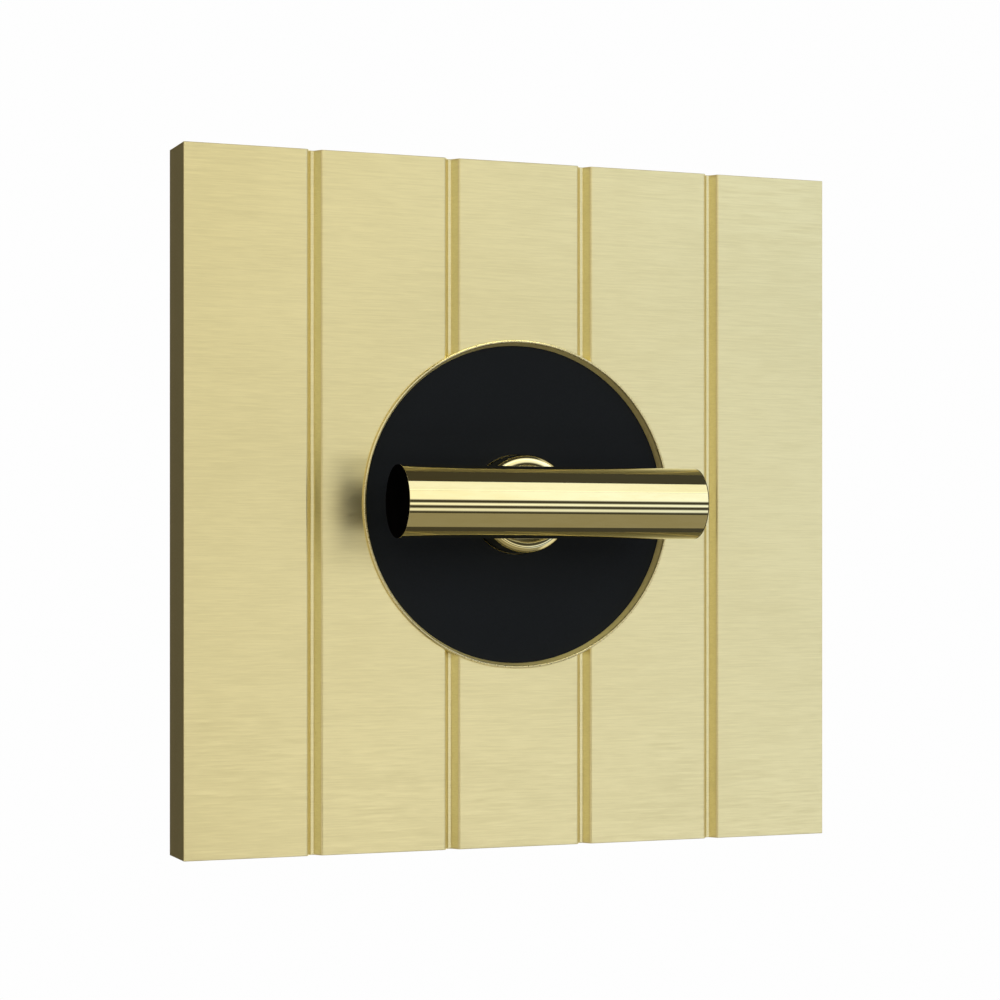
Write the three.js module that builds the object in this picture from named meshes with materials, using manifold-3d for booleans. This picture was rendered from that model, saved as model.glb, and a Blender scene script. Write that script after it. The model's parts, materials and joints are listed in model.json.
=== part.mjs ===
// A centre-off, spring-return toggle wall switch: a square grooved brass plate, a black rose in a
// brass cup and a horizontal bar on a lever. A moulded mechanism behind carries the contacts.
// Millimetres. +Z is up, the plate faces -Y, the wall's surface is y = 0, and the lever turns about
// a line along X at x = z = 0.

import * as THREE from 'three';
import { mergeVertices } from 'three/addons/utils/BufferGeometryUtils.js';
import Module from 'manifold-3d';

const wasm = await Module();
wasm.setup();

// ---------------------------------------------------------------- driving dimensions

const GAP = 0.3; // between pieces that rest on each other

const PLATE = { size: 86, depth: 7, rim: 3, pocketDepth: 3.8, edge: 0.25 };
const GROOVE = { count: 4, pitch: 17.82, mouth: 1.9, floor: 0.5, depth: 0.8 };

const CUP = { radius: 20.6, proud: 0.4, shoulder: 2, flange: 0.7, floor: 1.3, bore: 5.3 };
const RIM = { lip: 0.15, round: 0.15, slope: 0.45 }; // widths across the cup's front edge
const INSERT = { recess: 1.1, thickness: 0.6 };
const COLLAR = { radius: 6.2, front: -10, mouth: 4.7, edge: 0.35 };

const FRAME = { size: 79.2, thickness: 1.2, corner: 3 };
const FIXING_SLOT = { spacing: 60.3, width: 4.4, length: 7 };
const WASHER = { radius: 8, thickness: 0.5 };
const LOCK_NUT = { acrossFlats: 14, thickness: 1.5 };

const EARTH = { z: -27.5, hole: 1.5, holeDepth: 2, width: 8, height: 7, depth: 7, wireDepth: 4.4 };

const BUSH = { radius: 5, bore: 4.2, front: -7.5, flangeWidth: 33, flangeHeight: 39, flange: 3 };
const PIVOT_Y = 2.1;
const PIN = { radius: 1, length: 15, play: 0.15 };

const STEM = { radius: 1.9, ball: 3.8, neck: 1.2, tip: 0.8 };
const BAR = { radius: 4.4, length: 39, y: -17, chamfer: 0.25, boreRadius: 4.05, boreDepth: 3.2 };
const SOCKET = { floor: 2, grub: 3.2 }; // places along Y behind the bar's centre line
const PLUG = { radius: 3.75, length: 2.7, inset: 0.2 };
const GRUB = { radius: 1, length: 2.1, play: 0.2, drive: 0.9, driveDepth: 0.6 };
const DRIVE = { radius: 1.9, y: 12.1, mountLength: 0.9 };

const HOUSING = { width: 34, height: 40, cover: 2, rear: 32, web: 2 };
const CAVITY = { width: 23, height: 32.4, rear: 21 };
const CHANNEL = { width: 12.6, rear: 16.5 };
const GUIDE = { inner: 4.6, height: 28, rear: 8.9 };
const CASE_HOLE = { x: 13.9, z: 16.9, radius: 1.5, headRadius: 2.4, headDepth: 2 };

const SLIDE = { width: 12, height: 16, front: 9.2, rear: 16.2 };
const SLIDE_SLOT = { width: 6, depth: 5.4 };
const SLIDE_RIB = { width: 8, thickness: 1 };
const BLADE = { width: 14, height: 2.2, front: 18, thickness: 0.8, tipRadius: 1, tipX: 5.5, tip: 0.6 };
const BOW = { width: 7.2, height: 1.8, thickness: 0.25, steps: 10 };
const RAIL = { front: 20, thickness: 0.7, inner: 4, width: 4, commonHeight: 14 };
const THROW = { start: 1.5, end: 9.9 };
const LEG = { rear: 29, commonHeight: 6 };
const BLOCK = { size: 7.4, depth: 7, front: 23.8, throwX: 2.8, throwZ: 10.2, commonX: -4.3 };
const BLOCK_HOLE = { wire: 1.6, wireOffset: 2.6, screw: 1.7, driver: 2.8 };
const SPRING = { coil: 2.3, wire: 0.3, turns: 5, sides: 6, stepsPerTurn: 10 };
const PEG = { radius: 1.5, length: 1.6 };

const SCREWS = {
  fixing: { head: 3.2, headHeight: 1.8, shank: 1.75, length: 24 },
  earth: { head: 2.2, headHeight: 1.6, shank: 1.4, length: 3 },
  terminal: { head: 2.4, headHeight: 1.6, shank: 1.4, length: 2.8 },
  housing: { head: 2.1, headHeight: 1.5, shank: 1.2, length: 29.4 },
};

// ---------------------------------------------------------------- derived places

const plateFront = -PLATE.depth;
const pocketFloor = -PLATE.pocketDepth;
const lipFront = plateFront - CUP.proud;
const insertFront = lipFront + INSERT.recess;
const insertRear = insertFront + INSERT.thickness;
const cupInside = CUP.radius - RIM.round - RIM.lip - RIM.slope;
const cupFloorFront = insertRear + GAP;
const cupShoulder = cupFloorFront + CUP.flange;
const cupRear = cupFloorFront + CUP.floor;
const frameFront = -FRAME.thickness;
const washerFront = frameFront - GAP - WASHER.thickness;
const lockNutFront = washerFront - GAP - LOCK_NUT.thickness;
const flangeFront = GAP;
const flangeRear = flangeFront + BUSH.flange;
const coverFront = flangeRear + GAP;
const coverRear = coverFront + HOUSING.cover;
const bodyFront = coverRear + GAP;
const fixingX = FIXING_SLOT.spacing / 2;
const ballRelief = STEM.ball + 0.4;
const springStart = SLIDE.height / 2 + GAP;
const springEnd = CAVITY.height / 2 - GAP;
const blockMiddleY = BLOCK.front + BLOCK.depth / 2;

// ---------------------------------------------------------------- materials

function finish(color, roughness, metalness) {
  return new THREE.MeshStandardMaterial({ color, roughness, metalness });
}

const MATERIALS = {
  brushedBrass: finish(0xd3c795, 0.38, 1),
  polishedBrass: finish(0xe6d79a, 0.08, 1),
  matteBlack: finish(0x1c1e1f, 0.6, 0),
  glossBlack: finish(0x050505, 0.3, 0),
  zinc: finish(0xa7a9ab, 0.45, 1),
  steel: finish(0xb4b6b8, 0.35, 1),
  thermoset: finish(0x2b2a28, 0.55, 0),
  nylon: finish(0xe4e0d4, 0.5, 0),
  terminalBrass: finish(0xc9a95a, 0.35, 1),
  copper: finish(0xb8734a, 0.35, 1),
  silver: finish(0xd8d8d6, 0.2, 1),
  springSteel: finish(0x8f9297, 0.3, 1),
};

// ---------------------------------------------------------------- geometry helpers

// A closed three.js geometry as a manifold-3d solid, with shared corners merged and slivers left out.
function toSolid(geometry) {
  const bare = geometry.clone();
  bare.deleteAttribute('normal');
  bare.deleteAttribute('uv');
  const merged = mergeVertices(bare, 1e-4);
  const corners = merged.index.array;
  const kept = [];
  for (let i = 0; i < corners.length; i += 3) {
    const [a, b, c] = [corners[i], corners[i + 1], corners[i + 2]];
    if (a !== b && b !== c && c !== a) {
      kept.push(a, b, c);
    }
  }
  const vertProperties = new Float32Array(merged.attributes.position.array);
  return new wasm.Manifold(new wasm.Mesh({ numProp: 3, vertProperties, triVerts: new Uint32Array(kept) }));
}

function toGeometry(solid) {
  const mesh = solid.getMesh();
  const geometry = new THREE.BufferGeometry();
  geometry.setAttribute('position', new THREE.BufferAttribute(new Float32Array(mesh.vertProperties), 3));
  geometry.setIndex(new THREE.BufferAttribute(new Uint32Array(mesh.triVerts), 1));
  geometry.computeVertexNormals();
  return geometry;
}

function cut(base, ...tools) {
  let solid = toSolid(base);
  for (const tool of tools) {
    solid = solid.subtract(toSolid(tool));
  }
  return toGeometry(solid);
}

function join(base, ...additions) {
  let solid = toSolid(base);
  for (const addition of additions) {
    solid = solid.add(toSolid(addition));
  }
  return toGeometry(solid);
}

// A box given by its low and high corners.
function brick(low, high) {
  const size = high.map((value, axis) => value - low[axis]);
  const centre = high.map((value, axis) => (value + low[axis]) / 2);
  return new THREE.BoxGeometry(...size).translate(...centre);
}

// A round bar along X, Y or Z from one place on that axis to another, around a centre line.
function rod(axis, radius, from, to, centre = [0, 0, 0], segments = 24) {
  const geometry = new THREE.CylinderGeometry(radius, radius, to - from, segments);
  if (axis === 'x') {
    geometry.rotateZ(Math.PI / 2);
  }
  if (axis === 'z') {
    geometry.rotateX(Math.PI / 2);
  }
  const middle = [...centre];
  middle['xyz'.indexOf(axis)] = (from + to) / 2;
  return geometry.translate(...middle);
}

// A turned piece around the Y axis. The profile lists [radius, y], running towards +Y on its outer side.
function turned(profile, segments = 64) {
  return new THREE.LatheGeometry(profile.map(([r, y]) => new THREE.Vector2(r, y)), segments);
}

// A turned ring between two radii and two places along Y.
function ring(inner, outer, from, to, segments = 64) {
  return turned([[inner, from], [outer, from], [outer, to], [inner, to], [inner, from]], segments);
}

// A flat outline in X and Z, made solid from one place along Y to another.
function slab(shape, from, to) {
  const options = { depth: to - from, bevelEnabled: false, curveSegments: 5 };
  return new THREE.ExtrudeGeometry(shape, options).rotateX(Math.PI / 2).translate(0, to, 0);
}

function roundedRectangle(width, height, radius) {
  const [w, h] = [width / 2, height / 2];
  const shape = new THREE.Shape();
  shape.moveTo(radius - w, -h);
  shape.lineTo(w - radius, -h);
  shape.absarc(w - radius, radius - h, radius, -Math.PI / 2, 0);
  shape.lineTo(w, h - radius);
  shape.absarc(w - radius, h - radius, radius, 0, Math.PI / 2);
  shape.lineTo(radius - w, h);
  shape.absarc(radius - w, h - radius, radius, Math.PI / 2, Math.PI);
  shape.lineTo(-w, radius - h);
  shape.absarc(radius - w, radius - h, radius, Math.PI, Math.PI * 1.5);
  return shape;
}

function hexagon(acrossFlats) {
  const corner = acrossFlats / Math.sqrt(3);
  const points = Array.from({ length: 6 }, (_, i) => {
    const angle = (i * Math.PI) / 3;
    return new THREE.Vector2(corner * Math.cos(angle), corner * Math.sin(angle));
  });
  return new THREE.Shape(points);
}

class Helix extends THREE.Curve {
  constructor(radius, length, turns) {
    super();
    Object.assign(this, { radius, length, turns });
  }

  getPoint(t, target = new THREE.Vector3()) {
    const angle = t * this.turns * Math.PI * 2;
    return target.set(this.radius * Math.cos(angle), this.radius * Math.sin(angle), t * this.length);
  }
}

// A coil of round wire along +Z, from z = 0 to the length given.
function coil(coilRadius, wireRadius, length, turns) {
  const points = Array.from({ length: SPRING.sides }, (_, i) => {
    const angle = (i / SPRING.sides) * Math.PI * 2;
    return new THREE.Vector2(wireRadius * Math.cos(angle), wireRadius * Math.sin(angle));
  });
  const path = new Helix(coilRadius, length - 2 * wireRadius, turns);
  const steps = turns * SPRING.stepsPerTurn;
  const wire = new THREE.ExtrudeGeometry(new THREE.Shape(points), { steps, extrudePath: path });
  return wire.translate(0, 0, wireRadius);
}

// A screw along +Y: its head's bearing face is y = 0, its head is in front of that, its shank behind it.
function screw({ head, headHeight, shank, length, slot = 0.7 }) {
  const profile = [
    [0, -headHeight],
    [head - 0.4, -headHeight],
    [head, 0.4 - headHeight],
    [head, 0],
    [shank, 0],
    [shank, length - 0.4],
    [shank - 0.3, length],
    [0, length],
  ];
  const reach = head * 0.62;
  const floor = -headHeight * 0.4;
  return cut(
    turned(profile, 16),
    brick([-reach, -headHeight - 1, -slot / 2], [reach, floor, slot / 2]),
    brick([-slot / 2, -headHeight - 1, -reach], [slot / 2, floor, reach]),
  );
}

// ---------------------------------------------------------------- the plate and the rose

// The grooves run the plate's full height, evenly spaced about its middle.
function grooveTool(index) {
  const x = (index - (GROOVE.count - 1) / 2) * GROOVE.pitch;
  const [mouth, floor] = [GROOVE.mouth / 2, GROOVE.floor / 2];
  const above = 0.2;
  const slope = ((mouth - floor) / GROOVE.depth) * above;
  const shape = new THREE.Shape([
    new THREE.Vector2(-floor, GROOVE.depth),
    new THREE.Vector2(-mouth - slope, -above),
    new THREE.Vector2(mouth + slope, -above),
    new THREE.Vector2(floor, GROOVE.depth),
  ]);
  const length = PLATE.size + 2;
  const tool = new THREE.ExtrudeGeometry(shape, { depth: length, bevelEnabled: false });
  return tool.translate(x, plateFront, -length / 2);
}

function facePlate() {
  const flat = roundedRectangle(PLATE.size - 2 * PLATE.edge, PLATE.size - 2 * PLATE.edge, 0.3);
  const bevel = { bevelEnabled: true, bevelSize: PLATE.edge, bevelThickness: PLATE.edge, bevelSegments: 1 };
  const options = { depth: PLATE.depth - PLATE.edge, curveSegments: 2, ...bevel };
  const body = new THREE.ExtrudeGeometry(flat, options).rotateX(Math.PI / 2);
  const inner = PLATE.size - 2 * PLATE.rim;
  return cut(
    body,
    brick([-PLATE.size, 0, -PLATE.size], [PLATE.size, PLATE.depth, PLATE.size]),
    slab(roundedRectangle(inner, inner, 2), pocketFloor, 1),
    rod('y', CUP.radius + GAP, plateFront - 1, cupShoulder + GAP, [0, 0, 0], 72),
    rod('y', CUP.radius - CUP.shoulder + GAP, plateFront, 0, [0, 0, 0], 72),
    ...Array.from({ length: GROOVE.count }, (_, index) => grooveTool(index)),
  );
}

function rosetteCup() {
  const spigot = CUP.radius - CUP.shoulder;
  const crown = CUP.radius - RIM.round;
  return turned([
    [CUP.bore, cupFloorFront],
    [cupInside, cupFloorFront],
    [cupInside, insertFront],
    [crown - RIM.lip, lipFront],
    [crown, lipFront],
    [CUP.radius, lipFront + RIM.round],
    [CUP.radius, cupShoulder],
    [spigot, cupShoulder],
    [spigot, cupRear],
    [CUP.bore, cupRear],
    [CUP.bore, cupFloorFront],
  ], 72);
}

function blackInsert() {
  return ring(COLLAR.radius + GAP, cupInside - GAP, insertFront, insertRear, 72);
}

function collarNut() {
  const { radius, front, mouth, edge } = COLLAR;
  const thread = BUSH.radius + GAP;
  const rear = cupFloorFront - GAP;
  return turned([
    [mouth, front],
    [radius - edge, front],
    [radius, front + edge],
    [radius, rear],
    [thread, rear],
    [thread, BUSH.front - GAP],
    [mouth, BUSH.front - GAP],
    [mouth, front],
  ], 48);
}

// ---------------------------------------------------------------- the frame and the bush

function mountingFrame() {
  const outline = roundedRectangle(FRAME.size, FRAME.size, FRAME.corner);
  const slotHole = roundedRectangle(FIXING_SLOT.length, FIXING_SLOT.width, FIXING_SLOT.width * 0.45);
  return cut(
    slab(outline, frameFront, 0),
    rod('y', BUSH.radius + GAP, frameFront - 1, 1),
    slab(slotHole, frameFront - 1, 1).translate(-fixingX, 0, 0),
    slab(slotHole, frameFront - 1, 1).translate(fixingX, 0, 0),
    rod('y', EARTH.hole, frameFront - 1, 1, [0, 0, EARTH.z]),
  );
}

function lockNut() {
  const rear = lockNutFront + LOCK_NUT.thickness;
  return cut(
    slab(hexagon(LOCK_NUT.acrossFlats), lockNutFront, rear),
    rod('y', BUSH.radius + GAP, lockNutFront - 1, rear + 1),
  );
}

// The flange is screwed to the front of the housing, and the threaded bush stands out of it.
// The pivot pin lies in a groove across the flange's rear face, where the housing's cover holds it.
function bushPlate() {
  const halfPin = PIN.length / 2 + GAP;
  const halfGroove = PIN.radius + PIN.play;
  return cut(
    join(
      slab(roundedRectangle(BUSH.flangeWidth, BUSH.flangeHeight, 2), flangeFront, flangeRear),
      rod('y', BUSH.radius, BUSH.front, flangeFront + 1, [0, 0, 0], 36),
    ),
    rod('y', BUSH.bore, BUSH.front - 1, flangeRear + 1, [0, 0, 0], 36),
    brick([-halfPin, PIVOT_Y - halfGroove, -halfGroove], [halfPin, flangeRear + 1, halfGroove]),
    ...caseScrewHoles(flangeFront - 1, flangeRear + 1),
  );
}

function earthTerminal() {
  const [w, h] = [EARTH.width / 2, EARTH.height / 2];
  const rear = GAP + EARTH.depth;
  const wireY = GAP + EARTH.wireDepth;
  return cut(
    brick([-w, GAP, EARTH.z - h], [w, rear, EARTH.z + h]),
    rod('y', EARTH.hole, -1, GAP + EARTH.holeDepth, [0, 0, EARTH.z], 16),
    rod('x', BLOCK_HOLE.wire, -w - 1, w + 1, [0, wireY, EARTH.z], 16),
    rod('z', BLOCK_HOLE.screw, EARTH.z - h - 1, EARTH.z, [0, wireY, 0], 16),
  );
}

// ---------------------------------------------------------------- the lever

function leverStem() {
  const ballStart = PIVOT_Y - Math.sqrt(STEM.ball ** 2 - STEM.radius ** 2);
  const neckStart = PIVOT_Y + Math.sqrt(STEM.ball ** 2 - STEM.neck ** 2);
  const first = Math.acos((PIVOT_Y - ballStart) / STEM.ball);
  const last = Math.PI - Math.acos((neckStart - PIVOT_Y) / STEM.ball);
  const steps = 8;
  const ball = Array.from({ length: steps + 1 }, (_, i) => {
    const angle = first + ((last - first) * i) / steps;
    return [STEM.ball * Math.sin(angle), PIVOT_Y - STEM.ball * Math.cos(angle)];
  });
  const front = BAR.y + SOCKET.floor;
  const neckEnd = DRIVE.y - DRIVE.radius;
  const tailEnd = DRIVE.y + DRIVE.mountLength;
  const body = turned([
    [0, front],
    [STEM.radius - 0.3, front],
    [STEM.radius, front + 0.3],
    ...ball,
    [STEM.neck, neckEnd],
    [STEM.tip, neckEnd],
    [STEM.tip, tailEnd],
    [0, tailEnd],
  ], 24);
  return cut(body, rod('x', PIN.radius + 0.2, -STEM.ball, STEM.ball, [0, PIVOT_Y, 0], 16));
}

function tBar() {
  const { radius, length, y, chamfer, boreRadius, boreDepth } = BAR;
  const half = length / 2;
  const bar = turned([
    [0, -half],
    [radius - chamfer, -half],
    [radius, chamfer - half],
    [radius, half - chamfer],
    [radius - chamfer, half],
    [0, half],
  ], 48).rotateZ(Math.PI / 2).translate(0, y, 0);
  const centre = [0, y, 0];
  return cut(
    bar,
    rod('x', boreRadius, -half - 1, boreDepth - half, centre, 48),
    rod('x', boreRadius, half - boreDepth, half + 1, centre, 48),
    rod('y', STEM.radius + GAP, y + SOCKET.floor - GAP, y + radius + 1, [0, 0, 0], 24),
    rod('z', GRUB.radius + GRUB.play, -radius - 1, 0, [0, y + SOCKET.grub, 0], 20),
  );
}

function endPlug(side) {
  const outer = BAR.length / 2 - PLUG.inset;
  const [from, to] = side < 0 ? [-outer, PLUG.length - outer] : [outer - PLUG.length, outer];
  return rod('x', PLUG.radius, from, to, [0, BAR.y, 0], 48);
}

function grubScrew() {
  const top = -STEM.radius - GAP;
  const bottom = top - GRUB.length;
  const y = BAR.y + SOCKET.grub;
  const key = slab(hexagon(GRUB.drive), -GRUB.driveDepth, GRUB.driveDepth).rotateX(Math.PI / 2);
  return cut(rod('z', GRUB.radius, bottom, top, [0, y, 0], 20), key.translate(0, y, bottom));
}

function driveBall() {
  const ball = new THREE.SphereGeometry(DRIVE.radius, 20, 14).translate(0, DRIVE.y, 0);
  const boreEnd = DRIVE.y + DRIVE.mountLength + GAP;
  return cut(ball, rod('y', STEM.tip + GAP, DRIVE.y - DRIVE.radius - 1, boreEnd, [0, 0, 0], 12));
}

// ---------------------------------------------------------------- the housing

function caseScrewHoles(from, to, radius = CASE_HOLE.radius) {
  return [-1, 1].flatMap((sx) => [-1, 1].map((sz) => (
    rod('y', radius, from, to, [sx * CASE_HOLE.x, 0, sz * CASE_HOLE.z], 16)
  )));
}

// Two ribs behind the cover keep the contact slide back from the lever's ball.
function housingCover() {
  const half = GUIDE.height / 2;
  const outer = SLIDE.width / 2;
  return cut(
    join(
      slab(roundedRectangle(HOUSING.width, HOUSING.height, 2), coverFront, coverRear),
      brick([-outer, coverRear - 1, -half], [-GUIDE.inner, GUIDE.rear, half]),
      brick([GUIDE.inner, coverRear - 1, -half], [outer, GUIDE.rear, half]),
    ),
    rod('y', ballRelief, coverFront - 1, coverRear + 1),
    ...caseScrewHoles(coverFront - 1, coverRear + 1),
  );
}

// Where each terminal block lies, and the axis its screw comes in along.
const TERMINALS = {
  upper: { low: [BLOCK.throwX, BLOCK.throwZ], screwAxis: 'z', sign: 1 },
  lower: { low: [BLOCK.throwX, -BLOCK.throwZ - BLOCK.size], screwAxis: 'z', sign: -1 },
  common: { low: [BLOCK.commonX - BLOCK.size, -BLOCK.size / 2], screwAxis: 'x', sign: -1 },
};

function terminalCentre({ low }) {
  return [low[0] + BLOCK.size / 2, blockMiddleY, low[1] + BLOCK.size / 2];
}

// A bay holds a terminal block and the leg of its contact, and opens at the rear. A hole lets the screw in.
function terminalBay(terminal) {
  const { low, screwAxis, sign } = terminal;
  const legRoom = RAIL.thickness + 2 * GAP;
  const start = [low[0] - GAP, CAVITY.rear + HOUSING.web, low[1] - GAP];
  const end = [low[0] + BLOCK.size + GAP, HOUSING.rear + 1, low[1] + BLOCK.size + GAP];
  const along = screwAxis === 'x' ? 0 : 2;
  if (sign > 0) {
    start[along] -= legRoom;
  } else {
    end[along] += legRoom;
  }
  const centre = terminalCentre(terminal);
  const outside = sign * HOUSING.height;
  const [near, far] = [Math.min(centre[along], outside), Math.max(centre[along], outside)];
  return [brick(start, end), rod(screwAxis, BLOCK_HOLE.driver, near, far, centre, 24)];
}

// Slots through the web let each contact's leg pass from the cavity into its bay.
function legSlot(name) {
  const [low, high] = legBox(name);
  return brick(
    [low[0] - GAP, CAVITY.rear - 1, low[2] - GAP],
    [high[0] + GAP, CAVITY.rear + HOUSING.web + 1, high[2] + GAP],
  );
}

function housingBody() {
  const [w, h, channel] = [CAVITY.width / 2, CAVITY.height / 2, CHANNEL.width / 2];
  return cut(
    slab(roundedRectangle(HOUSING.width, HOUSING.height, 2), bodyFront, HOUSING.rear),
    brick([-channel, bodyFront - 1, -h], [channel, CAVITY.rear, h]),
    brick([-w, CHANNEL.rear, -h], [w, CAVITY.rear, h]),
    ...Object.values(TERMINALS).flatMap(terminalBay),
    ...Object.keys(TERMINALS).map(legSlot),
    ...caseScrewHoles(bodyFront - 1, HOUSING.rear + 1),
    ...caseScrewHoles(HOUSING.rear - CASE_HOLE.headDepth, HOUSING.rear + 1, CASE_HOLE.headRadius),
  );
}

// ---------------------------------------------------------------- contacts and terminals

// The flat stretch that the moving contact wipes on.
function railBox(name) {
  const { front, thickness, inner } = RAIL;
  const rear = front + thickness;
  const outer = inner + RAIL.width;
  const half = RAIL.commonHeight / 2;
  const boxes = {
    common: [[-outer, front, -half], [thickness - inner, rear, half]],
    upper: [[inner, front, THROW.start], [outer, rear, THROW.end]],
    lower: [[inner, front, -THROW.end], [outer, rear, -THROW.start]],
  };
  return boxes[name];
}

// The leg that runs back beside the terminal block.
function legBox(name) {
  const { front, thickness, inner } = RAIL;
  const outer = inner + RAIL.width;
  const half = LEG.commonHeight / 2;
  const boxes = {
    common: [[-inner, front, -half], [thickness - inner, LEG.rear, half]],
    upper: [[inner, front, THROW.end - thickness], [outer, LEG.rear, THROW.end]],
    lower: [[inner, front, -THROW.end], [outer, LEG.rear, thickness - THROW.end]],
  };
  return boxes[name];
}

function fixedContact(name) {
  return join(brick(...railBox(name)), brick(...legBox(name)));
}

// The wire goes in from the rear, and the screw comes down on it from the side.
function terminalBlock(name) {
  const terminal = TERMINALS[name];
  const { low, screwAxis, sign } = terminal;
  const rear = BLOCK.front + BLOCK.depth;
  const along = screwAxis === 'x' ? 0 : 2;
  const centre = terminalCentre(terminal);
  const wire = [...centre];
  wire[along] -= sign * (BLOCK.size / 2 - BLOCK_HOLE.wireOffset);
  const outside = centre[along] + sign * (BLOCK.size / 2 + 1);
  const [from, to] = [Math.min(wire[along], outside), Math.max(wire[along], outside)];
  return cut(
    brick([low[0], BLOCK.front, low[1]], [low[0] + BLOCK.size, rear, low[1] + BLOCK.size]),
    rod('y', BLOCK_HOLE.wire, BLOCK.front + 1, rear + 1, wire, 20),
    rod(screwAxis, BLOCK_HOLE.screw, from, to, centre, 20),
  );
}

// The slide is driven by the ball on the lever's tail, and two ribs behind it guide the moving contact.
function contactSlide() {
  const [w, h] = [SLIDE.width / 2, SLIDE.height / 2];
  const slotX = SLIDE_SLOT.width / 2;
  const slotZ = DRIVE.radius + PIN.play;
  const ribX = SLIDE_RIB.width / 2;
  const ribZ = BLADE.height / 2 + GAP;
  const ribRear = BLADE.front + BLADE.thickness;
  const rib = (z) => brick([-ribX, SLIDE.rear - 1, z], [ribX, ribRear, z + SLIDE_RIB.thickness]);
  const pegEnd = h + PEG.length;
  return cut(
    join(
      brick([-w, SLIDE.front, -h], [w, SLIDE.rear, h]),
      rod('z', PEG.radius, -pegEnd, pegEnd, [0, DRIVE.y, 0], 24),
      rib(ribZ),
      rib(-ribZ - SLIDE_RIB.thickness),
    ),
    brick([-slotX, SLIDE.front - 1, -slotZ], [slotX, SLIDE.front + SLIDE_SLOT.depth, slotZ]),
  );
}

// A bowed strip that presses the moving contact away from the slide.
function contactSpring() {
  const front = SLIDE.rear + GAP;
  const rise = BLADE.front - GAP - front - BOW.thickness;
  const outer = [];
  const inner = [];
  for (let i = 0; i <= BOW.steps; i += 1) {
    const share = i / BOW.steps - 0.5;
    const x = share * BOW.width;
    const y = front + rise * Math.cos(share * Math.PI);
    inner.push(new THREE.Vector2(x, y));
    outer.unshift(new THREE.Vector2(x, y + BOW.thickness));
  }
  const shape = new THREE.Shape([...inner, ...outer]);
  const strip = new THREE.ExtrudeGeometry(shape, { depth: BOW.height, bevelEnabled: false });
  return strip.translate(0, 0, -BOW.height / 2);
}

function movingContact() {
  const [w, h] = [BLADE.width / 2, BLADE.height / 2];
  return brick([-w, BLADE.front, -h], [w, BLADE.front + BLADE.thickness, h]);
}

function contactTip(side) {
  const front = BLADE.front + BLADE.thickness + GAP;
  return rod('y', BLADE.tipRadius, front, front + BLADE.tip, [side * BLADE.tipX, 0, 0], 20);
}

function returnSpring() {
  return coil(SPRING.coil, SPRING.wire, springEnd - springStart, SPRING.turns);
}

// ---------------------------------------------------------------- the assembly

const wallSwitch = new THREE.Group();

function add(name, geometry, material, position = [0, 0, 0], rotation = [0, 0, 0]) {
  const mesh = new THREE.Mesh(geometry, material);
  mesh.name = name;
  mesh.position.set(...position);
  mesh.rotation.set(...rotation);
  wallSwitch.add(mesh);
}

const QUARTER = Math.PI / 2;

function addFront() {
  add('face_plate', facePlate(), MATERIALS.brushedBrass);
  add('rosette_cup', rosetteCup(), MATERIALS.brushedBrass);
  add('black_insert', blackInsert(), MATERIALS.matteBlack);
  add('collar_nut', collarNut(), MATERIALS.polishedBrass);
}

function addFrame() {
  add('mounting_frame', mountingFrame(), MATERIALS.steel);
  const washer = ring(BUSH.radius + GAP, WASHER.radius, washerFront, washerFront + WASHER.thickness, 36);
  add('lock_washer', washer, MATERIALS.springSteel);
  add('lock_nut', lockNut(), MATERIALS.zinc);
  add('bush_plate', bushPlate(), MATERIALS.zinc);
  add('earth_terminal', earthTerminal(), MATERIALS.terminalBrass);
  const earthPlace = [0, GAP + EARTH.wireDepth, EARTH.z - EARTH.height / 2 - GAP];
  add('earth_screw', screw(SCREWS.earth), MATERIALS.steel, earthPlace, [QUARTER, 0, 0]);
  for (const [side, sign] of [['left', -1], ['right', 1]]) {
    const place = [sign * fixingX, frameFront - GAP, 0];
    add(`fixing_screw_${side}`, screw(SCREWS.fixing), MATERIALS.steel, place);
  }
}

function addLever() {
  add('lever_stem', leverStem(), MATERIALS.polishedBrass);
  add('t_bar', tBar(), MATERIALS.polishedBrass);
  add('end_plug_left', endPlug(-1), MATERIALS.glossBlack);
  add('end_plug_right', endPlug(1), MATERIALS.glossBlack);
  add('grub_screw', grubScrew(), MATERIALS.steel);
  const half = PIN.length / 2;
  add('pivot_pin', rod('x', PIN.radius, -half, half, [0, PIVOT_Y, 0], 24), MATERIALS.steel);
  add('drive_ball', driveBall(), MATERIALS.nylon);
}

function addHousing() {
  add('housing_cover', housingCover(), MATERIALS.thermoset);
  add('housing_body', housingBody(), MATERIALS.thermoset);
  const seat = HOUSING.rear - CASE_HOLE.headDepth + GAP;
  const corners = [[-1, -1], [-1, 1], [1, -1], [1, 1]];
  corners.forEach(([sx, sz], index) => {
    const place = [sx * CASE_HOLE.x, seat, sz * CASE_HOLE.z];
    add(`case_screw_${index + 1}`, screw(SCREWS.housing), MATERIALS.steel, place, [Math.PI, 0, 0]);
  });
}

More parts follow.
